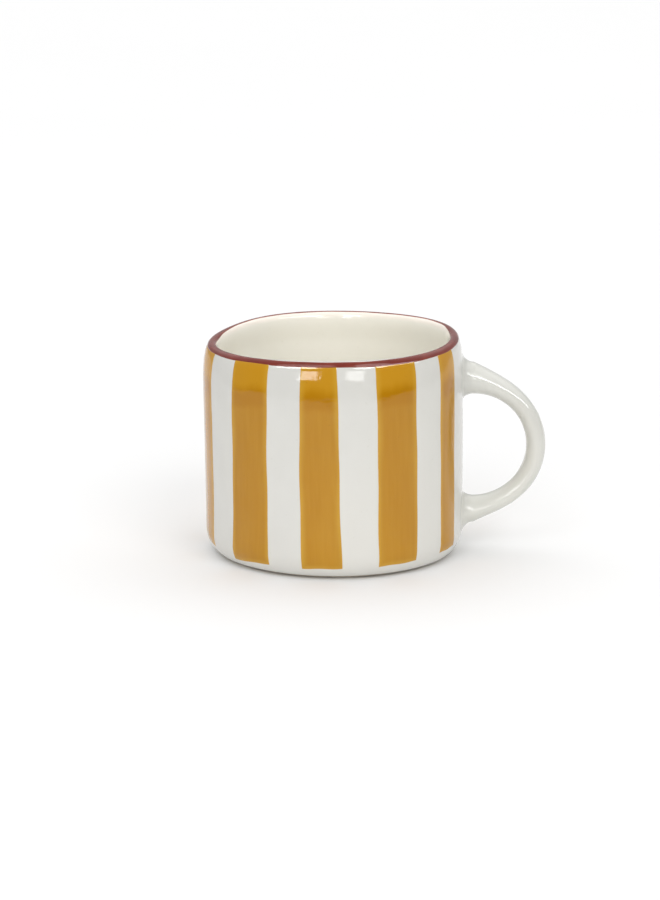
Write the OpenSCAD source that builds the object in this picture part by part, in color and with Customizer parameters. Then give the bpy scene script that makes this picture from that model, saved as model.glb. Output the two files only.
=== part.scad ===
// Ceramic mug: a thrown-shape stoneware cup with a luted loop handle, its glaze coats,
// a painted rim line and ten hand-painted stripes. Millimetres, +Z up.
// The origin is the centre of the foot's resting plane. The handle points along +X.
// Every coat is a real layer of its own: glaze on the clay, then the painted lines on the glaze.

/* [Cup] */
// Largest outside diameter, just under the shoulder
body_d = 97; // [94:0.5:102]
// Height from the foot to the crest of the lip
cup_h = 81; // [76:0.5:88]
// Outside diameter at the top of the rounded bottom corner
low_d = 94; // [90:0.5:96]
// Radial reach of the rounded bottom corner
corner_reach = 7; // [6:0.1:9]
// Height of the rounded bottom corner
corner_h = 9.5; // [8:0.1:12]
// Radial reach of the shoulder, from the wall in to the crest of the lip
shoulder_reach = 3.5; // [3:0.1:4.5]
// Height of the shoulder
shoulder_h = 10; // [8:0.1:11]
// Wall thickness with its glaze
wall = 3.9; // [3.6:0.1:4.8]
// Floor thickness above the foot's plane, with its glaze
floor_h = 5.5; // [4.5:0.1:7]

/* [Lip] */
// Radial reach of the lip's inner round
lip_reach = 1.7; // [1.4:0.1:2.2]
// Height of the lip's inner round
lip_h = 2.4; // [2:0.1:3]
// Height of the stretch below the lip where the inner wall leans in
neck_h = 9.6; // [7:0.1:12]

/* [Foot] */
// Inside diameter of the foot ring
foot_in_d = 62; // [50:1:66]
// Depth of the recess under the cup
recess_h = 1.6; // [1:0.1:2]
// Radial reach of the recess's rounded edge
recess_reach = 3; // [2:0.1:4]

/* [Coats] */
// Thickness of the glaze
coat = 0.4; // [0.3:0.05:0.5]
// Thickness of the painted stripes and rim line, on top of the glaze
paint = 0.15; // [0.1:0.05:0.2]
// Height of the bare foot below the outer glaze
bare_foot_h = 1.2; // [0.8:0.1:1.6]
// Height at which the stripes end above the foot
stripe_bottom_h = 4.5; // [3:0.1:6]
// Width of the rim line down the outside, measured in height
rim_band_h = 2; // [1.2:0.1:3]
// Width of the rim line on the inside, measured in height
rim_band_in_h = 0.8; // [0.4:0.1:1.2]

/* [Stripes] */
// Start angle of each stripe, in degrees round from the front, towards the handle
stripe_start = [-81, -48, -16, 18, 50, 119, 147, 180, 213, 246];
// Angular width of each stripe, in degrees
stripe_width = [19, 18, 18, 18, 12, 12, 17, 17, 17, 17];

/* [Handle] */
// Radius of the loop's centreline
loop_r = 23; // [21.5:0.1:24]
// Distance of the loop's centre from the cup's axis
loop_x = 50.7; // [50:0.1:52]
// Height of the loop's centre
loop_z = 40.2; // [39:0.1:42]
// Angle where the loop turns into its upper root, from the +X axis
loop_top_a = 77; // [72:1:82]
// Angle where the loop turns into its lower root, below the +X axis
loop_low_a = 75; // [70:1:80]
// Thickness of the handle at its outermost point
grip_t = 7.1; // [6:0.1:9]
// Width of the handle across the fingers
grip_w = 11; // [9:0.1:13]
// Extra thickness and width where the handle nears the wall
root_gain = 1.3; // [0.5:0.1:2]
// Height of the fillet of slip round each root, where it meets the wall
fillet_rise = 3.2; // [2:0.1:4]
// Reach of the fillet along the handle
fillet_reach = 4.5; // [3.5:0.1:5.5]

/* [Hidden] */
$fn = 96;

clay_colour = [0.87, 0.84, 0.79];
glaze_colour = [0.91, 0.91, 0.87];
liner_colour = [0.92, 0.91, 0.85];
mustard_colour = [0.74, 0.54, 0.20];
rust_colour = [0.60, 0.27, 0.22];

body_r = body_d / 2;
low_r = low_d / 2;
foot_in_r = foot_in_d / 2;
lip_r = body_r - shoulder_reach;
shoulder_z = cup_h - shoulder_h;
lip_z = cup_h - lip_h;
neck_z = lip_z - neck_h;
in_corner_reach = corner_reach + 1.4;
in_corner_h = corner_h - 0.3;
in_low_r = low_r - wall;
in_low_z = floor_h + in_corner_h;

// Steps along each stretch of the profile
corner_steps = 8;
wall_steps = 9;
shoulder_steps = 7;
lip_steps = 5;

// Parameter angles where the coats end on the bottom corner, the shoulder, the lip and the recess
foot_a = acos(1 - bare_foot_h / corner_h);
stripe_a = acos(1 - stripe_bottom_h / corner_h);
band_a = asin(1 - rim_band_h / shoulder_h);
band_in_a = asin(1 - rim_band_in_h / lip_h);
recess_end_a = 65;
chamfer_a = 20;

// Depth of the clay under glaze and paint
clay_in = paint + coat;

// Evenly spaced values from a to b, ends included
function steps(a, b, n) = [for (i = [0:n]) a + (b - a) * i / n];

// Outside radius of the wall at height z: a slow swell from the corner to the shoulder
function wall_r(z) = low_r + (body_r - low_r) * sin(90 * (z - corner_h) / (shoulder_z - corner_h));

// Each profile runs upwards. The inset d moves it from the painted surface into the clay:
// 0 is the paint's face, paint is the glaze's face and clay_in is the clay's face.
function corner_pts(from_a, to_a, d) = [
    for (a = steps(from_a, to_a, corner_steps))
        [low_r - corner_reach + (corner_reach - d) * sin(a), corner_h - (corner_h - d) * cos(a)]
];
function wall_pts(d) = [
    for (z = steps(corner_h, shoulder_z, wall_steps)) [wall_r(z) - d, z]
];
function shoulder_pts(from_a, to_a, d) = [
    for (a = steps(from_a, to_a, shoulder_steps))
        [lip_r + (shoulder_reach - d) * cos(a), shoulder_z + (shoulder_h - d) * sin(a)]
];
function floor_pts(d) = [
    for (a = steps(0, 90, corner_steps))
        [in_low_r - in_corner_reach + (in_corner_reach + d) * sin(a), in_low_z - (in_corner_h + d) * cos(a)]
];
function in_wall_pts(d) = [
    for (z = steps(in_low_z, neck_z, wall_steps)) [wall_r(z) - wall + d, z]
];
function neck_pts(d) = [
    for (u = steps(0, 1, lip_steps))
        [lip_r - lip_reach + d + (wall_r(neck_z) - wall - lip_r + lip_reach) * (1 + cos(180 * u)) / 2,
         neck_z + neck_h * u]
];
function lip_pts(from_a, to_a, d) = [
    for (a = steps(from_a, to_a, lip_steps))
        [lip_r - (lip_reach - d) * cos(a), lip_z + (lip_h - d) * sin(a)]
];
function recess_pts(to_a, d) = [
    for (a = steps(0, to_a, lip_steps))
        [foot_in_r - recess_reach + (recess_reach + d) * sin(a), (recess_h + d) * cos(a)]
];

function tail(list) = [for (i = [1:len(list) - 1]) list[i]];
function reversed(list) = [for (i = [len(list) - 1:-1:0]) list[i]];

// Outside line from one corner angle up to one shoulder angle, at inset d
function outside_pts(low_a, high_a, d) = concat(
    corner_pts(low_a, 90, d), tail(wall_pts(d)), tail(shoulder_pts(0, high_a, d))
);
// Inside line from the axis up to one lip angle, at inset d
function inside_pts(high_a, d) = concat(
    [[0, floor_h - d]], floor_pts(d), tail(in_wall_pts(d)), tail(neck_pts(d)), tail(lip_pts(0, high_a, d))
);
// Solid of revolution of everything inside the outer surface at inset d
module cup_fill(d) {
    rotate_extrude()
        polygon(concat([[0, 0], [low_r - corner_reach, 0]], outside_pts(chamfer_a, 90, d), [[0, cup_h - d]]));
}

// Handle centreline: a straight upper root, the round loop, a straight lower root.
// s is the distance along it from the place where the loop begins.
arc_len = loop_r * (loop_top_a + loop_low_a) * PI / 180;
root_in_x = body_r - 2.6;
top_x = loop_x + loop_r * cos(loop_top_a);
low_x = loop_x + loop_r * cos(loop_low_a);
top_lead = (top_x - root_in_x) / sin(loop_top_a);
low_lead = (low_x - root_in_x) / sin(loop_low_a);
sweep_rings = 58;
sweep_sides = 16;
joint_rings = 6;

function station(i) = -top_lead + i * (top_lead + arc_len + low_lead) / sweep_rings;
function loop_a(s) = loop_top_a - min(max(s, 0), arc_len) / loop_r * 180 / PI;
// How far s lies outside the round loop, along a straight root
function lead(s) = s < 0 ? s : max(s - arc_len, 0);
function path_dir(s) = [sin(loop_a(s)), 0, -cos(loop_a(s))];
function path_point(s) =
    [loop_x + loop_r * cos(loop_a(s)), 0, loop_z + loop_r * sin(loop_a(s))] + lead(s) * path_dir(s);
// Clear distance from the cup's wall, then the fillet of slip that swells towards it as a square law
function wall_gap(p) = max(p[0] - wall_r(p[2]), 0);
function fillet(g) = g >= fillet_reach ? 0 : fillet_rise * pow(1 - g / fillet_reach, 2);
function root_share(s) = pow(sin(90 * min(abs(loop_a(s)) / loop_low_a, 1)), 4);
function half_size(size, s) = (size + root_gain * root_share(s)) / 2 + fillet(wall_gap(path_point(s)));
// A slightly squared ellipse round the centreline
section_power = 0.88;
function squared(v) = sign(v) * pow(abs(v), section_power);
function ring(s, d) = [
    for (k = [0:sweep_sides - 1])
        let (a = 360 * k / sweep_sides)
            path_point(s)
            + (half_size(grip_t, s) - d) * squared(cos(a)) * [cos(loop_a(s)), 0, sin(loop_a(s))]
            + (half_size(grip_w, s) - d) * squared(sin(a)) * [0, 1, 0]
];

// One closed length of the handle between two rings, at inset d from its glazed surface
module handle_length(first, last, d) {
    n = sweep_sides;
    count = last - first;
    points = [for (i = [first:last]) each ring(station(i), d)];
    walls = [
        for (i = [0:count - 1], k = [0:n - 1])
            each [
                [i * n + k, i * n + (k + 1) % n, (i + 1) * n + (k + 1) % n],
                [i * n + k, (i + 1) * n + (k + 1) % n, (i + 1) * n + k]
            ]
    ];
    start_cap = [[for (k = [n - 1:-1:0]) k]];
    end_cap = [[for (k = [0:n - 1]) count * n + k]];
    polyhedron(points, concat(walls, start_cap, end_cap));
}

// Tube of glaze along the whole handle, between the glazed surface and the clay
module handle_skin() {
    n = sweep_sides;
    inner = (sweep_rings + 1) * n;
    points = concat(
        [for (i = [0:sweep_rings]) each ring(station(i), 0)],
        [for (i = [0:sweep_rings]) each ring(station(i), coat)]
    );
    outer_walls = [
        for (i = [0:sweep_rings - 1], k = [0:n - 1])
            let (a = i * n + k, b = i * n + (k + 1) % n)
                each [[a, b, b + n], [a, b + n, a + n]]
    ];
    inner_walls = [
        for (i = [0:sweep_rings - 1], k = [0:n - 1])
            let (a = inner + i * n + k, b = inner + i * n + (k + 1) % n)
                each [[a, b + n, b], [a, a + n, b + n]]
    ];
    caps = [
        for (end = [0, 1], k = [0:n - 1])
            let (a = end * sweep_rings * n + k, b = end * sweep_rings * n + (k + 1) % n)
                each end == 0
                    ? [[a, b + inner, b], [a, a + inner, b + inner]]
                    : [[a, b, b + inner], [a, b + inner, a + inner]]
    ];
    polyhedron(points, concat(outer_walls, inner_walls, caps));
}

// Bisque cup with its foot ring, the wall the handle is luted to
module cup_body() {
    color(clay_colour)
        rotate_extrude()
            polygon(concat(
                [[0, recess_h + coat]], recess_pts(90, coat), [[low_r - corner_reach, 0]],
                outside_pts(chamfer_a, 90, clay_in), tail(reversed(inside_pts(90, clay_in)))
            ));
}

// Loop of the handle between its two luted roots
module handle() {
    color(clay_colour)
        handle_length(joint_rings, sweep_rings - joint_rings, coat);
}

// Upper root, flared with slip and scribed to the cup's wall
module handle_upper_joint() {
    color(clay_colour)
        difference() {
            handle_length(0, joint_rings, coat);
            cup_fill(clay_in);
        }
}

// Lower root, flared with slip and scribed to the cup's wall
module handle_lower_joint() {
    color(clay_colour)
        difference() {
            handle_length(sweep_rings - joint_rings, sweep_rings, coat);
            cup_fill(clay_in);
        }
}

// Cream liner glaze over the floor and the inner wall
module inner_glaze() {
    color(liner_colour)
        rotate_extrude()
            polygon(concat(inside_pts(90, paint), reversed(inside_pts(90, clay_in))));
}

// White glaze over the whole outside, open round the handle's two roots
module outer_glaze() {
    color(glaze_colour)
        difference() {
            rotate_extrude()
                polygon(concat(
                    outside_pts(foot_a, 90, paint), reversed(outside_pts(foot_a, 90, clay_in))
                ));
            handle_length(0, joint_rings, coat);
            handle_length(sweep_rings - joint_rings, sweep_rings, coat);
        }
}

// White glaze over the handle and both roots
module handle_glaze() {
    color(glaze_colour)
        difference() {
            handle_skin();
            cup_fill(paint);
        }
}

// Glaze in the recess under the cup
module base_glaze() {
    color(glaze_colour)
        rotate_extrude()
            polygon(concat(
                [[0, recess_h]], recess_pts(recess_end_a, 0),
                reversed(recess_pts(recess_end_a, coat)), [[0, recess_h + coat]]
            ));
}

// Painted line over the crest of the lip
module rim_band() {
    color(rust_colour)
        rotate_extrude()
            polygon(concat(
                shoulder_pts(band_a, 90, 0), tail(reversed(lip_pts(band_in_a, 90, 0))),
                lip_pts(band_in_a, 90, paint), tail(reversed(shoulder_pts(band_a, 90, paint)))
            ));
}

// One painted stripe on the white glaze, from its foot up to the rim line
module stripe(number) {
    color(mustard_colour)
        rotate([0, 0, stripe_start[number - 1] - 90])
            rotate_extrude(angle = stripe_width[number - 1])
                polygon(concat(
                    outside_pts(stripe_a, band_a, 0), reversed(outside_pts(stripe_a, band_a, paint))
                ));
}

cup_body();
handle();
handle_upper_joint();
handle_lower_joint();
inner_glaze();
outer_glaze();
handle_glaze();
base_glaze();
rim_band();
stripe(1);  // stripe_01
stripe(2);  // stripe_02
stripe(3);  // stripe_03
stripe(4);  // stripe_04
stripe(5);  // stripe_05
stripe(6);  // stripe_06
stripe(7);  // stripe_07
stripe(8);  // stripe_08
stripe(9);  // stripe_09
stripe(10);  // stripe_10
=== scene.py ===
"""A striped ceramic mug: clay cup and handle, glaze coats, painted stripes and a painted lip.

Lengths inside the shape functions are millimetres and angles are radians, measured round the cup
from its front (-Y) towards the handle (+X). A piece is turned into metres when its mesh is made.
"""
import math

import bmesh
import bpy
import numpy as np
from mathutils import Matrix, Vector


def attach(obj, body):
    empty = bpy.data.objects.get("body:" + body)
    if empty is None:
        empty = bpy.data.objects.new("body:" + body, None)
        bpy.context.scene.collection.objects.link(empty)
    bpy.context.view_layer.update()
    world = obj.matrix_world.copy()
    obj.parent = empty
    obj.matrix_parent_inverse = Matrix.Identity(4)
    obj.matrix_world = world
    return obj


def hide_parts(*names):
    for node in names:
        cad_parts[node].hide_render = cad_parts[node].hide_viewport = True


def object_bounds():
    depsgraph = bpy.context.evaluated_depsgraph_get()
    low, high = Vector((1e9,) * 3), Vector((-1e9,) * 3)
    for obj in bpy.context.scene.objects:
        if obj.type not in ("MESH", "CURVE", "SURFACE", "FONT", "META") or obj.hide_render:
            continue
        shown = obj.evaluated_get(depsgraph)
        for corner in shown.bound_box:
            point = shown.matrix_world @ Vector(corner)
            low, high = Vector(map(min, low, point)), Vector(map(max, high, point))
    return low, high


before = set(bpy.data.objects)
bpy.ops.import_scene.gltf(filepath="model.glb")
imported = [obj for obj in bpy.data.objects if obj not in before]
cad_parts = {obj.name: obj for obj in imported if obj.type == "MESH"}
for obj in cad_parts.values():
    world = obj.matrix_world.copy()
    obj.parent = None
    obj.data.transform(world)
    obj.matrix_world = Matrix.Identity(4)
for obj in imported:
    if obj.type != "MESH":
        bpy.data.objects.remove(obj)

CAD_LOW, CAD_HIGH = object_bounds()
MM = 0.001

# ---------------------------------------------------------------- sizes of the cup
ROUND_SPARE = 1.0                                   # room left for the lip to be out of round
LIFT_SPARE = 1.18                                   # room left for the lip to rise and fall
WALL_R = CAD_HIGH.y / MM - ROUND_SPARE              # widest radius of the wall
LIP_Z = CAD_HIGH.z / MM - LIFT_SPARE                # crest of the lip before it rises and falls
LOW_R = WALL_R - 0.7                                # wall radius above the bottom corner
CORNER_REACH, CORNER_H = 6.9, 9.5                   # rounded bottom corner
SHOULDER_REACH, SHOULDER_H = 3.5, 15.5              # long soft shoulder up to the crest
SHOULDER_POWER = 2.7                                # above 2 squares the shoulder's curve
SHOULDER_Z = LIP_Z - SHOULDER_H
WALL_T = 3.9
FLOOR_Z = 5.5
FLOOR_REACH, FLOOR_H = CORNER_REACH + 1.4, CORNER_H - 0.3   # rounded corner inside, at the floor
LIP_REACH, LIP_H, NECK_H = 1.7, 2.4, 9.6            # inner round of the lip and the lean below it
FOOT_IN_R, RECESS_Z, RECESS_REACH = 31.0, 1.6, 3.0  # foot ring and the recess inside it
FOOT_ROUND = 0.35                                   # softened inner edge of the foot ring
FOOT_BEVEL = 0.3                                    # softened outer edge, to either side of it
BARE_FOOT_Z = 1.2                                   # the outer glaze stops here
LEAN_Y = -1.0                                       # the hand-shaped cup leans this far forwards

GLAZE_T = 0.4
EDGE_SINK = 0.05                                    # paint edges dive this far under the glaze
# A paint film: how proud its face stands, how deep its back lies under the sunk edge, and the
# widths of border over which the two get there.
STRIPE_FILM = {"proud": 0.07, "rise": 0.45, "depth": 0.2, "fall": 0.6}
LIP_FILM = {"proud": 0.14, "rise": 0.4, "depth": 0.12, "fall": 0.5}


def smooth(x):
    """Rises from 0 to 1 with flat ends, as 3x^2 - 2x^3."""
    x = np.clip(x, 0.0, 1.0)
    return x * x * (3.0 - 2.0 * x)


# ---------------------------------------------------------------- the cup's outlines
def quarter_turn(count):
    """Cosines and sines of evenly spaced angles over a quarter turn."""
    a = np.linspace(0.0, math.pi / 2, count)
    return np.cos(a), np.sin(a)


def outside_outline():
    """Corner quarter-ellipse, slowly swelling wall, then a squared quarter-ellipse to the crest."""
    c, s = quarter_turn(60)
    corner = np.stack([LOW_R - CORNER_REACH * (1 - s), CORNER_H * (1 - c)], -1)
    u = np.linspace(0.0, 1.0, 120)
    wall = np.stack([LOW_R + (WALL_R - LOW_R) * np.sin(u * math.pi / 2),
                     CORNER_H + u * (SHOULDER_Z - CORNER_H)], -1)
    c, s = quarter_turn(240)
    power = 2.0 / SHOULDER_POWER
    shoulder = np.stack([WALL_R - SHOULDER_REACH * (1 - c ** power),
                         SHOULDER_Z + SHOULDER_H * s ** power], -1)
    return np.concatenate([corner, wall[1:], shoulder[1:]])


def inside_outline():
    """Flat floor, rounded inner corner, wall, inward lean of the neck, then the lip's inner round."""
    low_r = LOW_R - WALL_T
    floor = np.stack([np.linspace(0.0, low_r - FLOOR_REACH, 40), np.full(40, FLOOR_Z)], -1)
    c, s = quarter_turn(60)
    corner = np.stack([low_r - FLOOR_REACH * (1 - s), FLOOR_Z + FLOOR_H * (1 - c)], -1)
    lip_low = LIP_Z - LIP_H
    neck_z = lip_low - NECK_H
    u = np.linspace(0.0, 1.0, 100)
    wall_z = FLOOR_Z + FLOOR_H + u * (neck_z - FLOOR_Z - FLOOR_H)
    wall = np.stack([low_r + (WALL_R - LOW_R) * np.sin(u * math.pi / 2), wall_z], -1)
    lip_r = WALL_R - SHOULDER_REACH
    lean = WALL_R - WALL_T - (lip_r - LIP_REACH)
    v = np.linspace(0.0, 1.0, 60)
    neck = np.stack([lip_r - LIP_REACH + lean * (1 + np.cos(math.pi * v)) / 2, neck_z + NECK_H * v], -1)
    c, s = quarter_turn(60)
    lip = np.stack([lip_r - LIP_REACH * c, lip_low + LIP_H * s], -1)
    return np.concatenate([floor, corner[1:], wall[1:], neck[1:], lip[1:]])


def recess_outline():
    """Glazed ceiling of the recess under the cup, bent down to the foot ring by a quarter-ellipse."""
    flat_r = FOOT_IN_R - RECESS_REACH
    flat = np.stack([np.linspace(0.0, flat_r, 30), np.full(30, RECESS_Z)], -1)
    c, s = quarter_turn(30)
    return np.concatenate([flat, np.stack([flat_r + RECESS_REACH * s, RECESS_Z * c], -1)[1:]])


class Line:
    """An outline (r, z) measured by length along it, with the unit normal on its right."""

    def __init__(self, points):
        steps = np.hypot(*np.diff(points, axis=0).T)
        self.s = np.concatenate([[0.0], np.cumsum(steps)])
        self.length = self.s[-1]
        self.points = points
        along = np.gradient(points, self.s, axis=0)
        along /= np.linalg.norm(along, axis=1, keepdims=True)
        self.normal = np.stack([along[:, 1], -along[:, 0]], -1)

    def at(self, s, proud=0.0):
        """Radius and height at length s, moved out by proud along the normal."""
        r, z = (np.interp(s, self.s, self.points[:, k]) for k in (0, 1))
        nr, nz = (np.interp(s, self.s, self.normal[:, k]) for k in (0, 1))
        return r + proud * nr, z + proud * nz

    def s_at_height(self, z):
        """Length along the outline at a height, where the outline rises all the way."""
        return np.interp(z, self.points[:, 1], self.s)


OUTSIDE = Line(outside_outline())
INSIDE = Line(inside_outline())
RECESS = Line(recess_outline())


# ---------------------------------------------------------------- the hand-shaped form
def sway(t, z):
    """How far the wall stands out of round: a few sines round the lip, fainter ones at the foot."""
    lip = (0.15 * np.sin(t) + 0.43 * np.cos(t) - 0.6 * np.sin(2 * t) + 0.88 * np.cos(2 * t)
           - 1.7 * np.cos(3 * t) + 0.77 * np.sin(4 * t) - 0.14 * np.cos(4 * t))
    foot = 0.32 * np.sin(2 * t) - 0.12 * np.cos(2 * t)
    share = smooth(z / LIP_Z)
    return lip * share + foot * (1.0 - share)


def lift(t, z):
    """How far the lip rises and falls: a slight tilt up to the handle and two shallow waves."""
    wave = (0.57 * np.sin(t) - 0.28 * np.cos(t) + 0.07 * np.sin(2 * t) - 0.3 * np.cos(2 * t)
            + 0.2 * np.cos(3 * t))
    return wave * smooth(z / LIP_Z)


def place(t, r, z):
    """Points of the cup: the outline at (r, z) turned to angle t, then swayed and lifted."""
    t, r, z = np.broadcast_arrays(t, r, z)
    radius = r * (1.0 + sway(t, z) / WALL_R)
    return np.stack([radius * np.sin(t), LEAN_Y - radius * np.cos(t), z + lift(t, z)], -1)


# ---------------------------------------------------------------- meshes
SEAM_GAP = 2e-7                      # points closer than this, in metres, are one point


def grid_faces(rows, cols, wrap_rows, wrap_cols):
    """Four corner numbers for each cell of a grid of points, row by row."""
    i = np.arange(rows if wrap_rows else rows - 1)[:, None]
    j = np.arange(cols if wrap_cols else cols - 1)[None, :]
    i2, j2 = (i + 1) % rows, (j + 1) % cols
    return np.stack([i * cols + j, i * cols + j2, i2 * cols + j2, i2 * cols + j], -1).reshape(-1, 4)


def signed_volume(points, faces):
    """Volume of a closed mesh of quads, positive when its faces point outwards."""
    a, b, c, d = (points[faces[:, k]] for k in range(4))
    return (np.einsum("ij,ij->", a, np.cross(b, c)) + np.einsum("ij,ij->", a, np.cross(c, d))) / 6.0


def make_piece(name, grids, values=None):
    """One closed piece from grids of points in millimetres, their seams merged.

    Each grid is (points, wrap_rows, wrap_cols, turned_over). values holds one array of numbers a
    point for each named attribute, in the grids' order.
    """
    points, faces, start = [], [], 0
    for grid, wrap_rows, wrap_cols, turned_over in grids:
        rows, cols = grid.shape[:2]
        cells = grid_faces(rows, cols, wrap_rows, wrap_cols) + start
        points.append(grid.reshape(-1, 3))
        faces.append(cells[:, ::-1] if turned_over else cells)
        start += rows * cols
    points, faces = np.concatenate(points) * MM, np.concatenate(faces)
    if signed_volume(points, faces) < 0:
        faces = faces[:, ::-1]
    mesh = bpy.data.meshes.new(name)
    mesh.from_pydata(points, [], faces)
    for key, numbers in (values or {}).items():
        layer = mesh.attributes.new(key, "FLOAT", "POINT")
        layer.data.foreach_set("value", numbers.ravel().astype(np.float32))
    work = bmesh.new()
    work.from_mesh(mesh)
    bmesh.ops.remove_doubles(work, verts=work.verts, dist=SEAM_GAP)
    for face in work.faces:
        face.smooth = True
    work.to_mesh(mesh)
    work.free()
    piece = bpy.data.objects.new(name, mesh)
    bpy.context.scene.collection.objects.link(piece)
    return piece


def turned(name, section, cols, wrap_section, values=None):
    """A closed piece turned round the cup's axis from a section of (r, z) points."""
    t = np.linspace(0.0, 2 * math.pi, cols, endpoint=False)[None, :]
    points = place(t, section[:, :1], section[:, 1:])
    rows = {key: np.repeat(numbers, cols) for key, numbers in (values or {}).items()}
    return make_piece(name, [(points, wrap_section, True, False)], rows)


def stretch(line, from_s, to_s, step, proud):
    """Section points along a line at a steady spacing."""
    count = max(int(abs(to_s - from_s) / step), 2)
    return np.stack(line.at(np.linspace(from_s, to_s, count), proud), -1)


# ---------------------------------------------------------------- the clay cup and its glazes
FAR_FROM_LIP = 9.0                   # any length past the zone where the cream coat thins out


def clay_cup():
    """Recess, foot ring, outside and inside at the clay's depth, closed on the axis at both ends."""
    foot_out_r = LOW_R - CORNER_REACH
    rise_s = OUTSIDE.s_at_height(BARE_FOOT_Z * 0.8)
    crest = 0.3                      # the clay stops this short of the crest on either side
    section = np.concatenate([
        stretch(RECESS, 0.0, RECESS.length, 1.2, 0.0) + [0.0, GLAZE_T],
        [[FOOT_IN_R, FOOT_ROUND], [FOOT_IN_R + FOOT_ROUND, 0.0]],
        [[foot_out_r - FOOT_BEVEL, 0.0], [foot_out_r + FOOT_BEVEL, FOOT_BEVEL / 3]],
        stretch(OUTSIDE, rise_s, OUTSIDE.length - crest, 1.0, -GLAZE_T),
        stretch(INSIDE, INSIDE.length - crest, 0.0, 1.2, GLAZE_T),
    ])
    return turned("cup_clay", section, 192, False)


def outside_glaze():
    """White coat from the bare foot up under the painted lip, with a rounded lower edge."""
    low_s = OUTSIDE.s_at_height(BARE_FOOT_Z)
    face_s = low_s + 0.25            # the face starts here, above the rounded edge
    edge_s = low_s + np.array([0.05, 0.0, 0.08])
    edge_depth = GLAZE_T * np.array([1.0, 0.6, 0.2])
    section = np.concatenate([
        stretch(OUTSIDE, face_s, OUTSIDE.length, 0.55, 0.0),
        stretch(OUTSIDE, OUTSIDE.length, face_s, 1.6, -GLAZE_T),
        np.stack(OUTSIDE.at(edge_s, -edge_depth), -1),
    ])
    return turned("outer_glaze_coat", section, 360, True)


def inside_glaze():
    """Cream coat over the floor, the inner wall and the lip's inner round."""
    face = stretch(INSIDE, 0.0, INSIDE.length, 0.7, 0.0)
    back = stretch(INSIDE, INSIDE.length, 0.0, 1.8, GLAZE_T)
    to_lip = np.concatenate([np.linspace(INSIDE.length, 0.0, len(face)), np.full(len(back), FAR_FROM_LIP)])
    return turned("inner_glaze_coat", np.concatenate([face, back]), 300, False, {"to_lip": to_lip})


def recess_glaze():
    """Coat on the ceiling of the recess under the cup."""
    end_s = RECESS.length - 1.0
    lower = stretch(RECESS, 0.0, end_s, 0.8, 0.0)
    upper = stretch(RECESS, end_s, 0.0, 1.6, 0.0) + [0.0, GLAZE_T]
    return turned("base_glaze_coat", np.concatenate([lower, upper]), 160, False)


# ---------------------------------------------------------------- painted stripes and lip
# Angles of each stripe's two edges at the lip and at the foot, in degrees, and the two heights
# where its brush stroke ends. The last five are on the side away from the front.
STRIPES = [
    {"top": (-79.0, -60.5), "foot": (-88.0, -69.5), "foot_z": (5.0, 4.7)},
    {"top": (-46.6, -29.2), "foot": (-52.5, -30.6), "foot_z": (3.2, 4.3)},
    {"top": (-15.4, 1.4), "foot": (-15.1, 4.1), "foot_z": (4.1, 4.5)},
    {"top": (17.6, 36.6), "foot": (20.0, 39.8), "foot_z": (4.5, 4.9)},
    {"top": (50.6, 64.0), "foot": (54.5, 68.0), "foot_z": (5.1, 5.6)},
    {"top": (117.0, 129.0), "foot": (115.5, 129.5), "foot_z": (5.2, 4.8)},
    {"top": (146.5, 163.5), "foot": (145.0, 164.5), "foot_z": (4.6, 4.2)},
    {"top": (180.5, 196.5), "foot": (179.0, 197.5), "foot_z": (4.3, 4.8)},
    {"top": (212.5, 229.5), "foot": (212.0, 231.0), "foot_z": (4.9, 4.4)},
    {"top": (246.0, 263.0), "foot": (244.5, 262.0), "foot_z": (4.4, 4.9)},
]
STRIPE_W, STRIPE_H = 15.0, 70.0      # rough size of a stripe, which spaces its grid
STRIPE_MARGIN = 0.6                  # its border, where the grid is finer
LIP_MARGIN = 0.12                    # the same for the lip paint, as a share of its width
STRIPE_TOP_Z = LIP_Z - 1.0           # stripes end here, under the lip paint
EDGE_BEND = 1.4                      # edges run nearly straight at first and turn more at the foot
EDGE_WAVE = 0.0035                   # hand wobble of an edge, in radians
FOOT_WAVE = 0.12                     # hand wobble of the lower end
MARGIN_STEPS = np.array([0.0, 0.12, 0.25, 0.4, 0.6, 0.8])
PAINT_UNIT = 10.0                    # "across" counts in steps of 10 mm


def near(t, centre, spread):
    """1 at an angle and falling off round it, as a bell curve of the chord's length."""
    return np.exp(-(2 * np.sin((t - centre) / 2) / spread) ** 2)


def rim_low_z(t):
    """Height of the lip paint's lower border: lowest a little right of the front, with brush waves."""
    u = t - 0.2
    return (LIP_Z - 1.5 - 0.35 * np.cos(u) - 0.25 * np.cos(2 * u)
            + 0.07 * np.sin(9 * t + 1.0) + 0.05 * np.sin(17 * t))


def rim_in_way(t):
    """How far past the crest the lip paint reaches: inwards at both sides, short of it at the front."""
    way = 0.55 - 1.5 * near(t, 0.0, 0.75) + 1.5 * near(t, -1.45, 0.3) + 1.4 * near(t, 1.5, 0.3)
    return way + 0.08 * np.sin(7 * t + 2.0) + 0.05 * np.sin(19 * t)


def packed(count, width, margin):
    """Values from 0 to width, crowded into both margins so that an edge turns down sharply."""
    close = margin * MARGIN_STEPS
    middle = np.linspace(margin, width - margin, count)
    return np.concatenate([close, middle, width - close[::-1]])


def film_face(film, border):
    """Height of a film's face over the glaze, by the distance from its border."""
    return -EDGE_SINK + (film["proud"] + EDGE_SINK) * smooth(border / film["rise"])


def film_back(film, border):
    """Height of a film's back, which lies in the glaze, by the distance from its border."""
    return -EDGE_SINK - film["depth"] * smooth(border / film["fall"])


def on_both_faces(values):
    """Repeats each array of numbers, for the face and then for the back."""
    return {key: np.concatenate([numbers.ravel()] * 2) for key, numbers in values.items()}


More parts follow.
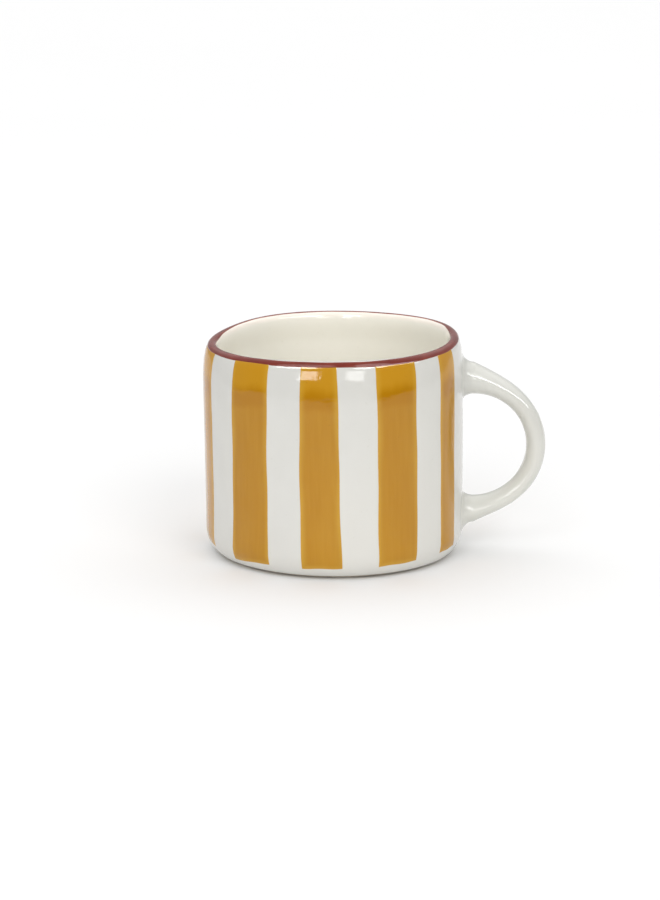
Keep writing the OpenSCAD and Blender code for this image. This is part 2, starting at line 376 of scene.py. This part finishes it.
def stripe_edges(stripe, number, z):
    """Angles of the left and right edge at height z."""
    drop = (1.0 - np.clip(z / LIP_Z, 0.0, 1.0)) ** EDGE_BEND
    edges = []
    for side in (0, 1):
        top, foot = math.radians(stripe["top"][side]), math.radians(stripe["foot"][side])
        phase = 2.4 * number + 1.7 * side
        wave = np.sin(z / 11.0 + phase) + 0.5 * np.sin(z / 4.3 + 2 * phase)
        edges.append(top + (foot - top) * drop + EDGE_WAVE * wave)
    return edges


def paint_stripe(number):
    """A lens of paint on the glaze: raised in the middle, with all four borders sunk into the coat.

    A cell is set by its share of the way across and its share of the way up. The share across
    gives the angle between the two edges, and the share up gives the length along the outline.
    """
    stripe = STRIPES[number - 1]
    across = (packed(26, STRIPE_W, STRIPE_MARGIN) / STRIPE_W)[None, :]
    up = (packed(150, STRIPE_H, STRIPE_MARGIN) / STRIPE_H)[:, None]
    foot_z = stripe["foot_z"][0] + (stripe["foot_z"][1] - stripe["foot_z"][0]) * across
    foot_s = OUTSIDE.s_at_height(foot_z) + FOOT_WAVE * np.sin(9.0 * across + 1.3 * number)
    top_s = OUTSIDE.s_at_height(STRIPE_TOP_Z)
    s = foot_s + (top_s - foot_s) * up
    radius, height = OUTSIDE.at(s)
    left, right = stripe_edges(stripe, number, height)
    t = left + (right - left) * across
    from_left, from_right = (t - left) * radius, (right - t) * radius
    edge = np.minimum(np.minimum(from_left, from_right), s - foot_s)
    border = np.minimum(edge, top_s - s)
    face = place(t, *OUTSIDE.at(s, film_face(STRIPE_FILM, border)))
    back = place(t, *OUTSIDE.at(s, film_back(STRIPE_FILM, border)))
    values = on_both_faces({"across": from_left / PAINT_UNIT, "edge": edge, "height": height})
    grids = [(face, False, False, False), (back, False, False, True)]
    return make_piece(f"stripe_{number:02d}_paint", grids, values)


def paint_lip():
    """A ring of paint over the crest, between the lower border outside and the border inside."""
    t = np.linspace(0.0, 2 * math.pi, 480, endpoint=False)[None, :]
    low_s = OUTSIDE.s_at_height(rim_low_z(t))
    out_len = OUTSIDE.length - low_s
    whole = out_len + rim_in_way(t)
    way = packed(22, 1.0, LIP_MARGIN)[:, None] * whole
    outside = way < out_len
    border = np.minimum(way, whole - way)

    def ring(proud):
        r_out, z_out = OUTSIDE.at(low_s + np.minimum(way, out_len), proud)
        r_in, z_in = INSIDE.at(INSIDE.length - np.maximum(way - out_len, 0.0), -proud)
        return place(t, np.where(outside, r_out, r_in), np.where(outside, z_out, z_in))

    round_lip = np.broadcast_to(t * WALL_R / PAINT_UNIT, way.shape)
    values = on_both_faces({"across": round_lip, "edge": border, "height": way})
    face, back = ring(film_face(LIP_FILM, border)), ring(film_back(LIP_FILM, border))
    return make_piece("rim_paint", [(face, False, True, False), (back, False, True, True)], values)


# ---------------------------------------------------------------- the handle
LOOP_X, LOOP_Z = 50.9, 39.0
GAP_R = 19.25                        # the finger gap is round
GRIP_T = 7.05                        # thickness at the outermost point
TOP_THIN, LOW_THIN = 0.1, 0.7        # the loop is a little thinner above and below
TOP_GAIN, TOP_POWER = 4.5, 5.2       # how the handle thickens towards its roots
LOW_GAIN, LOW_POWER = 3.2, 7.0
GRIP_W, ROOT_W_GAIN = 10.6, 2.6
SECTION_POWER = 0.97                 # below 1 squares the oval section slightly
MIDDLE_Y = LEAN_Y / 2
ROOT_WALL_R = WALL_R - 0.8           # the cup's radius at the roots, for the length of a root
ROOT_SINK = 0.7                      # the roots start this far inside the wall
# Fillets at the wall: (outer side, finger-gap side, sideways)
TOP_FILLET = (4.6, 2.2, 3.0)
LOW_FILLET = (4.6, 2.6, 3.0)
ROOT_STEPS, LOOP_STEPS = 26, 140     # places along a root and along the loop
JOINT_SHARE = 0.1                    # share of the handle's steps that belongs to each luted joint


def wall_x(y, z):
    """X of the cup's wall on the handle's side at (y, z), found by closing in on the angle."""
    x = np.full(np.broadcast(y, z).shape, WALL_R)
    for _ in range(6):
        t = np.arctan2(x, LEAN_Y - y)
        level = z - lift(t, z)
        radius = OUTSIDE.at(OUTSIDE.s_at_height(level))[0] * (1.0 + sway(t, level) / WALL_R)
        x = np.sqrt(radius ** 2 - (y - LEAN_Y) ** 2)
    return x


def root_swell(gap, reach):
    """Share of a root's fillet at a distance from the wall: a quarter-ellipse that meets the wall flat."""
    return 1.0 - np.sqrt(1.0 - np.clip(1 - gap / reach, 0, 1) ** 2)


def squared(wave):
    """A sine or cosine raised to the section's power, with its sign kept."""
    return np.sign(wave) * np.abs(wave) ** SECTION_POWER


def handle_rings(inset, from_u=0.0, to_u=1.0, rings=190, sides=72):
    """Rings of the handle's surface from the upper root to the lower one.

    The way along is a straight upper root, half a turn round the finger gap and a straight lower
    root. Each ring is a slightly squared oval. In the roots it grows by the fillets, and it bends
    to lie against the cup's wall.
    """
    reach = LOOP_X - ROOT_WALL_R     # length of a root outside the wall
    lead = reach + ROOT_SINK
    arc = math.pi * (GAP_R + GRIP_T / 2)
    steps = np.concatenate([
        np.linspace(0, lead, ROOT_STEPS),
        lead + np.linspace(0, arc, LOOP_STEPS)[1:-1],
        lead + arc + np.linspace(0, lead, ROOT_STEPS),
    ])
    way = np.interp(np.linspace(from_u, to_u, rings), np.linspace(0, 1, len(steps)), steps)[:, None]
    a = math.pi / 2 - np.clip((way - lead) / arc, 0, 1) * math.pi
    upper = a > 0
    share = np.abs(a) / (math.pi / 2)
    gain = np.where(upper, TOP_GAIN * share ** TOP_POWER, LOW_GAIN * share ** LOW_POWER)
    gain = gain - np.where(upper, TOP_THIN, LOW_THIN) * np.sin(a) ** 2
    in_root = np.maximum(lead - way, way - lead - arc)           # 0 in the loop, lead at the very end
    gap = reach - np.maximum(in_root, 0.0)                       # distance left to the wall
    swell = np.where(in_root > 0, root_swell(np.maximum(gap, 0.0), reach), 0.0)
    fillet = [np.where(upper, top, low) * swell for top, low in zip(TOP_FILLET, LOW_FILLET)]
    outer = GAP_R + GRIP_T + gain + fillet[0] - inset
    inner = GAP_R - fillet[1] + inset
    middle, half_t = (outer + inner) / 2, (outer - inner) / 2
    half_w = (GRIP_W + ROOT_W_GAIN * share ** 3) / 2 + fillet[2] - inset
    k = np.linspace(0, 2 * math.pi, sides, endpoint=False)[None, :]
    out = middle + half_t * squared(np.cos(k))
    y = half_w * squared(np.sin(k)) + MIDDLE_Y
    x = LOOP_X + out * np.cos(a) - np.maximum(in_root, 0.0)
    z = LOOP_Z + out * np.sin(a)
    bend = smooth(1.0 - gap / reach) * (in_root > 0)
    at_wall = wall_x(y, z) + gap
    return np.stack([x * (1 - bend) + at_wall * bend, y, z], -1)


def closed_tube(rings):
    """Adds a point at each end of a stack of rings, so that the tube closes to solid ends."""
    caps = [np.broadcast_to(ring.mean(0), ring.shape)[None] for ring in (rings[0], rings[-1])]
    return np.concatenate([caps[0], rings, caps[1]])


def clay_length(name, from_u, to_u, rings):
    """A solid length of the handle's clay under its glaze."""
    tube = closed_tube(handle_rings(GLAZE_T, from_u, to_u, rings, sides=48))
    return make_piece(name, [(tube, False, True, False)])


def handle_coat():
    """Tube of glaze over the whole handle, closed from its outer to its inner face at both ends."""
    outer, inner = handle_rings(0.0), handle_rings(GLAZE_T)
    return make_piece("handle_glaze_coat", [(np.concatenate([outer, inner[::-1]]), True, True, False)])


# ---------------------------------------------------------------- materials
class Finish:
    """A node material built up in short steps."""

    def __init__(self, name):
        self.material = bpy.data.materials.new(name)
        self.material.use_nodes = True
        self.nodes = self.material.node_tree.nodes
        self.links = self.material.node_tree.links
        self.shader = self.nodes["Principled BSDF"]

    def node(self, kind, settings=None, **inputs):
        """Adds a node, sets its properties, and fills its inputs with numbers or links."""
        made = self.nodes.new(kind)
        for key, value in (settings or {}).items():
            setattr(made, key, value)
        for key, value in inputs.items():
            self.put(made.inputs[key.replace("_", " ")], value)
        return made

    def put(self, socket, value):
        """Links an output to a socket, or sets the socket's own number, or its colour (r, g, b)."""
        if isinstance(value, bpy.types.NodeSocket):
            self.links.new(value, socket)
        elif socket.type == "RGBA":
            socket.default_value = (*value, 1.0)
        else:
            socket.default_value = value

    def where(self, squash_z=1.0):
        """Object coordinates, with the height counted squash_z times."""
        coordinates = self.node("ShaderNodeTexCoord")
        mapping = self.node("ShaderNodeMapping")
        mapping.inputs["Scale"].default_value = (1.0, 1.0, squash_z)
        self.links.new(coordinates.outputs["Object"], mapping.inputs["Vector"])
        return mapping.outputs["Vector"]

    def value(self, name):
        """A named number carried by the piece's own points."""
        return self.node("ShaderNodeAttribute", {"attribute_name": name}).outputs["Fac"]

    def joined(self, x, y, z):
        """A vector from three numbers."""
        return self.node("ShaderNodeCombineXYZ", X=x, Y=y, Z=z).outputs["Vector"]

    def arithmetic(self, operation, a, b):
        """One Math node on two numbers."""
        made = self.node("ShaderNodeMath", {"operation": operation})
        self.put(made.inputs[0], a)
        self.put(made.inputs[1], b)
        return made.outputs["Value"]

    def times(self, a, b):
        return self.arithmetic("MULTIPLY", a, b)

    def plus(self, a, b):
        return self.arithmetic("ADD", a, b)

    def noise(self, vector, scale, detail=3.0, roughness=0.55):
        """Cloudy noise from 0 to 1. scale is roughly its patches along one unit of the vector."""
        made = self.node("ShaderNodeTexNoise", Vector=vector, Scale=scale, Detail=detail,
                         Roughness=roughness)
        return made.outputs["Fac"]

    def ramp(self, value, low, high, to_low=0.0, to_high=1.0):
        """Maps low..high to to_low..to_high with soft ends."""
        made = self.node("ShaderNodeMapRange", {"interpolation_type": "SMOOTHSTEP"})
        for key, number in zip(("Value", "From Min", "From Max", "To Min", "To Max"),
                               (value, low, high, to_low, to_high)):
            self.put(made.inputs[key], number)
        return made.outputs["Result"]

    def mix(self, share, a, b):
        """Mixes two colours."""
        made = self.node("ShaderNodeMix", {"data_type": "RGBA"})
        self.put(made.inputs[0], share)
        self.put(made.inputs[6], a)
        self.put(made.inputs[7], b)
        return made.outputs[2]

    def bump(self, height, strength, distance):
        """Relief on the surface. distance is its full depth in metres."""
        made = self.node("ShaderNodeBump", Strength=strength, Distance=distance, Height=height)
        self.links.new(made.outputs["Normal"], self.shader.inputs["Normal"])

    def set(self, **inputs):
        """Fills inputs of the shader itself."""
        for key, value in inputs.items():
            self.put(self.shader.inputs[key.replace("_", " ")], value)


GLAZE_IOR = 1.43
GLOSS_LOW, GLOSS_HIGH = 0.045, 0.085                # roughness of the fired gloss, patch by patch

# Colours are linear (r, g, b).
WHITE = {"body": (0.672, 0.666, 0.632), "shade": (0.652, 0.646, 0.612), "warm": (0.672, 0.659, 0.610)}
# The handle's white is the cup's own white glaze set a little darker: painted shade on the handle.
HANDLE_WHITE_WITH_PAINTED_SHADE = {"body": (0.660, 0.660, 0.618), "shade": (0.636, 0.636, 0.592),
                "warm": (0.662, 0.650, 0.588)}
# The liner's cream tint is real, but it is set much paler than the outer white: painted light that makes
# up for the light the inside of the cup lacks.
CREAM_WITH_PAINTED_LIGHT = {"body": (0.900, 0.880, 0.810), "shade": (0.885, 0.865, 0.790), "warm": (0.900, 0.872, 0.785),
         "lip": (0.92, 0.85, 0.77)}
# The mustard's upper gold, its top tint and the darker band below them are painted reflection colours.
MUSTARD = {"body": (0.435, 0.198, 0.006), "wash": (0.475, 0.232, 0.012), "painted_unreflected_gold": (0.465, 0.210, 0.0015),
           "painted_reflection_edge_shade": (0.385, 0.158, 0.0015), "top": (0.540, 0.265, 0.016), "speck": (0.26, 0.10, 0.008),
           "thin": (0.55, 0.31, 0.03), "fringe": (0.66, 0.55, 0.36)}
RUST = {"body": (0.150, 0.016, 0.010), "wash": (0.235, 0.040, 0.026), "speck": (0.07, 0.012, 0.010),
        "thin": (0.27, 0.070, 0.045), "fringe": (0.45, 0.22, 0.16)}
CLAY = {"dark": (0.60, 0.53, 0.43), "light": (0.70, 0.63, 0.53), "grog": (0.36, 0.30, 0.23)}


def gloss(f, stroke=None):
    """The fired gloss, with the slow unevenness of a dipped coat and faint relief along brush strokes."""
    where = f.where()
    f.set(Roughness=f.ramp(f.noise(where, 140.0, 2.0), 0.3, 0.7, GLOSS_LOW, GLOSS_HIGH))
    f.set(IOR=GLAZE_IOR)
    relief = f.plus(f.noise(where, 60.0, 1.0), f.times(f.noise(where, 240.0, 2.0), 0.2))
    if stroke:
        relief = f.plus(relief, f.times(f.noise(stroke, 3.0, 2.0), 0.05))
    f.bump(relief, 0.3, 0.0009)


def glaze(name, colours):
    """Fired gloss glaze: cloudy colour and fine pinholes, and a paler lip where a coat has one."""
    f = Finish(name)
    where = f.where()
    cloud = f.ramp(f.noise(where, 45.0, 4.0), 0.35, 0.68)
    tint = f.mix(cloud, colours["shade"], colours["body"])
    drift = f.ramp(f.noise(f.where(0.5), 18.0, 2.0), 0.4, 0.7, 0.0, 0.55)
    tint = f.mix(drift, tint, colours["warm"])
    pinhole = f.ramp(f.noise(where, 900.0, 1.0), 0.73, 0.78, 0.0, 0.25)
    tint = f.mix(pinhole, tint, tuple(np.array(colours["shade"]) * (0.82, 0.80, 0.74)))
    if "lip" in colours:
        tint = f.mix(f.ramp(f.value("to_lip"), 1.4, 3.2, 1.0, 0.0), tint, colours["lip"])
    f.set(Base_Color=tint)
    gloss(f)
    return f.material


def brushed(f, colours, streak_scale, wash):
    """A brush stroke's place and colour: fine streaks along it and slow washes of thicker paint."""
    stroke = f.joined(f.times(f.value("across"), streak_scale), f.times(f.value("height"), 0.03), 0.0)
    streak = f.ramp(f.noise(stroke, 1.6, 4.0, 0.6), 0.34, 0.7)
    slow = f.ramp(f.noise(f.where(0.35), 70.0, 2.0), 0.36, 0.66)
    share = f.plus(f.times(streak, wash), f.times(slow, wash))
    return stroke, f.mix(share, colours["body"], colours["wash"])


def with_border(f, tint, colours, thin_mm, fringe_mm):
    """Paint runs thin along its border, and the glaze below shows through at the very edge."""
    where = f.where()
    wavy = f.plus(f.value("edge"), f.times(f.noise(where, 420.0, 2.0), 0.25))
    patchy = f.plus(wavy, f.times(f.noise(where, 38.0, 1.0), thin_mm))
    tint = f.mix(f.ramp(patchy, 0.5 * thin_mm, 1.6 * thin_mm, 0.8, 0.0), tint, colours["thin"])
    return f.mix(f.ramp(wavy, 0.2, fringe_mm, 1.0, 0.0), tint, colours["fringe"])


def mustard_paint(name):
    """Mustard stripes: brown-gold strokes, painted richer and lighter gold high up and darker along the
    lower edge of that zone, a painted reflection of where the glaze stops mirroring the pale floor.
    """
    f = Finish(name)
    stroke, tint = brushed(f, MUSTARD, 4.0, 0.5)
    # Painted reflection: richer, lighter gold above about 65 mm and a darker band along its lower edge
    # stand in for the glaze reflecting the pale floor below that height and nothing above it.
    level = f.plus(f.value("height"), f.times(f.noise(f.where(0.3), 95.0, 3.0), 8.0))
    tint = f.mix(f.ramp(level, 65.0, 70.0, 0.0, 0.85), tint, MUSTARD["painted_unreflected_gold"])
    painted_reflection_edge_shade = f.times(f.ramp(level, 65.5, 68.5), f.ramp(level, 71.0, 77.0, 1.0, 0.0))
    tint = f.mix(f.times(painted_reflection_edge_shade, 0.55), tint, MUSTARD["painted_reflection_edge_shade"])
    tint = f.mix(f.ramp(level, 71.5, 76.5, 0.0, 0.85), tint, MUSTARD["top"])
    speck = f.ramp(f.noise(f.where(), 1300.0, 1.0), 0.74, 0.79, 0.0, 0.3)
    tint = f.mix(speck, tint, MUSTARD["speck"])
    f.set(Base_Color=with_border(f, tint, MUSTARD, thin_mm=2.4, fringe_mm=0.5))
    gloss(f, stroke)
    return f.material


def rust_paint(name):
    """Rust-red lip: deep colour where the brush ran full, browner and thinner towards its borders."""
    f = Finish(name)
    stroke, tint = brushed(f, RUST, 1.0, 0.45)
    speck = f.ramp(f.noise(f.where(), 1100.0, 1.0), 0.72, 0.78, 0.0, 0.4)
    tint = f.mix(speck, tint, RUST["speck"])
    f.set(Base_Color=with_border(f, tint, RUST, thin_mm=0.7, fringe_mm=0.36))
    gloss(f, stroke)
    return f.material


def bare_clay(name):
    """Fired, unglazed stoneware: warm grey-buff, matt, with fine grog and sponge marks."""
    f = Finish(name)
    where = f.where()
    cloud = f.ramp(f.noise(where, 90.0, 4.0), 0.35, 0.7)
    grog = f.ramp(f.noise(where, 1500.0, 2.0), 0.62, 0.75, 0.0, 0.6)
    f.set(Base_Color=f.mix(grog, f.mix(cloud, CLAY["dark"], CLAY["light"]), CLAY["grog"]))
    f.set(Roughness=f.ramp(f.noise(where, 300.0, 2.0), 0.3, 0.7, 0.62, 0.8))
    f.bump(f.noise(where, 1800.0, 3.0), 0.5, 0.0003)
    return f.material


# ---------------------------------------------------------------- the mug
def finish_piece(piece, material, node):
    """Gives a piece its material and its body, and hides the CAD node that it stands for."""
    piece.data.materials.append(material)
    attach(piece, "root")
    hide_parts(node)


clay = bare_clay("bare_fired_clay")
white = glaze("white_glaze", WHITE)
# The handle's glaze is a slightly darker copy of the cup's white, as painted shade.
handle_white_with_painted_shade = glaze("handle_white_glaze_with_painted_shade", HANDLE_WHITE_WITH_PAINTED_SHADE)
# The cream liner's paleness is partly painted light.
cream = glaze("cream_liner_glaze_with_painted_light", CREAM_WITH_PAINTED_LIGHT)
mustard = mustard_paint("mustard_brushwork")
rust = rust_paint("rust_lip_brushwork")

finish_piece(clay_cup(), clay, "cup_body")
upper_joint = clay_length("upper_joint_clay", 0.0, JOINT_SHARE, 20)
finish_piece(upper_joint, clay, "handle_upper_joint")
loop = clay_length("handle_clay", JOINT_SHARE, 1 - JOINT_SHARE, 110)
finish_piece(loop, clay, "handle")
lower_joint = clay_length("lower_joint_clay", 1 - JOINT_SHARE, 1.0, 20)
finish_piece(lower_joint, clay, "handle_lower_joint")
finish_piece(outside_glaze(), white, "outer_glaze")
finish_piece(recess_glaze(), white, "base_glaze")
finish_piece(handle_coat(), handle_white_with_painted_shade, "handle_glaze")
finish_piece(inside_glaze(), cream, "inner_glaze")
for number in range(1, len(STRIPES) + 1):
    finish_piece(paint_stripe(number), mustard, f"stripe_{number:02d}")
finish_piece(paint_lip(), rust, "rim_band")


# ---------------------------------------------------------------- studio, in metres
FLOOR_FRONT, FLOOR_BACK = 0.37, 6.0  # the table top's rounded front and its far corners
LAMP_DISTANCE = 2.0


def studio_floor():
    """A pale table top, rounded in front of the mug and widening behind it."""
    a = np.linspace(-math.pi / 2, math.pi / 2, 49)
    front = FLOOR_FRONT * np.stack([np.sin(a), -np.cos(a), 0 * a], -1)
    outline = np.concatenate([front, [[FLOOR_BACK, FLOOR_BACK, 0], [-FLOOR_BACK, FLOOR_BACK, 0]]])
    mesh = bpy.data.meshes.new("floor")
    mesh.from_pydata(outline, [], [range(len(outline))])
    floor = bpy.data.objects.new("floor", mesh)
    bpy.context.scene.collection.objects.link(floor)
    f = Finish("pale_floor")
    f.set(Base_Color=f.mix(f.noise(f.where(), 2.0), (0.85, 0.85, 0.85), (0.87, 0.87, 0.87)))
    f.set(Roughness=0.9, Specular_IOR_Level=0.1)
    mesh.materials.append(f.material)


def towards(azimuth, elevation):
    """Direction from the mug by two angles in degrees: round from the front to the handle, and up."""
    a, e = math.radians(azimuth), math.radians(elevation)
    return Vector((math.sin(a) * math.cos(e), -math.cos(a) * math.cos(e), math.sin(e)))


def hang(name, lamp, direction, location):
    """Adds a lamp that shines against a direction."""
    hung = bpy.data.objects.new(name, lamp)
    hung.location = location
    hung.rotation_euler = direction.to_track_quat("Z", "Y").to_euler()
    bpy.context.scene.collection.objects.link(hung)
    return hung


def softbox(name, azimuth, elevation, size, power):
    """A rectangular lamp that faces the mug. size is its width and height."""
    lamp = bpy.data.lights.new(name, "AREA")
    lamp.shape = "RECTANGLE"
    lamp.size, lamp.size_y = size
    lamp.energy = power
    direction = towards(azimuth, elevation)
    return hang(name, lamp, direction, Vector((0.0, 0.0, CAD_HIGH.z / 2)) + LAMP_DISTANCE * direction)


def shine_card(name, azimuth, elevation, size, power):
    """A rectangular lamp that is seen only as a shine in gloss, and lights nothing."""
    softbox(name, azimuth, elevation, size, power).visible_diffuse = False


def high_light(name, azimuth, elevation, width, strength):
    """A soft light from high in front, the same all over the floor. width is its angle across."""
    lamp = bpy.data.lights.new(name, "SUN")
    lamp.energy = strength
    lamp.angle = math.radians(width)
    hang(name, lamp, towards(azimuth, elevation), (0.0, 0.0, 0.0))


def studio_room():
    """Pale surroundings: bright above and behind, grey low down, dark round and behind the camera."""
    world = bpy.data.worlds.new("studio_room")
    bpy.context.scene.world = world
    world.use_nodes = True
    nodes, links = world.node_tree.nodes, world.node_tree.links
    direction = nodes.new("ShaderNodeTexCoord")
    split = nodes.new("ShaderNodeSeparateXYZ")
    links.new(direction.outputs["Generated"], split.inputs["Vector"])

    def ramp(source, limits):
        made = nodes.new("ShaderNodeMapRange")
        made.interpolation_type = "SMOOTHSTEP"
        for key, number in zip(("From Min", "From Max"), limits):
            made.inputs[key].default_value = number
        links.new(source, made.inputs["Value"])
        return made.outputs["Result"]

    def mix(share, low, high):
        made = nodes.new("ShaderNodeMix")
        for socket, value in zip((made.inputs[0], made.inputs[2], made.inputs[3]), (share, low, high)):
            if isinstance(value, bpy.types.NodeSocket):
                links.new(value, socket)
            else:
                socket.default_value = value
        return made.outputs[0]

    backwards = ramp(split.outputs["Y"], (-0.7, 0.5))
    upwards = ramp(split.outputs["Z"], (0.25, 0.7))
    blend = mix(upwards, mix(backwards, 0.08, 0.5), mix(backwards, 0.45, 1.6))
    seen = mix(nodes.new("ShaderNodeLightPath").outputs["Is Camera Ray"], blend, 1.0)
    links.new(seen, nodes["Background"].inputs["Color"])


def camera():
    """A long lens a little above the mug, level with its front."""
    distance, elevation = 1.2, math.radians(13.6)
    aim = Vector((-0.00153, LEAN_Y * MM, 0.03699))
    lens = bpy.data.cameras.new("camera")
    lens.lens = 131.3
    lens.sensor_width = 36.0
    lens.clip_start, lens.clip_end = 0.05, 50.0
    eye = bpy.data.objects.new("camera", lens)
    eye.location = aim + distance * Vector((0.0, -math.cos(elevation), math.sin(elevation)))
    eye.rotation_euler = (math.pi / 2 - elevation, 0.0, 0.0)
    bpy.context.scene.collection.objects.link(eye)
    bpy.context.scene.camera = eye


studio_floor()
studio_room()
softbox("front_left_softbox", azimuth=-20.0, elevation=9.0, size=(0.34, 0.50), power=5.7)
softbox("front_right_softbox", azimuth=10.5, elevation=9.0, size=(0.53, 0.54), power=5.8)
high_light("high_left_light", azimuth=-25.0, elevation=38.0, width=30.0, strength=0.50)
high_light("high_right_light", azimuth=30.0, elevation=38.0, width=30.0, strength=0.74)
shine_card("high_left_card", azimuth=-30.0, elevation=29.0, size=(0.81, 0.24), power=12.0)
shine_card("high_right_card", azimuth=45.0, elevation=29.0, size=(2.50, 0.22), power=32.0)
camera()
bpy.context.scene.view_settings.view_transform = "Standard"
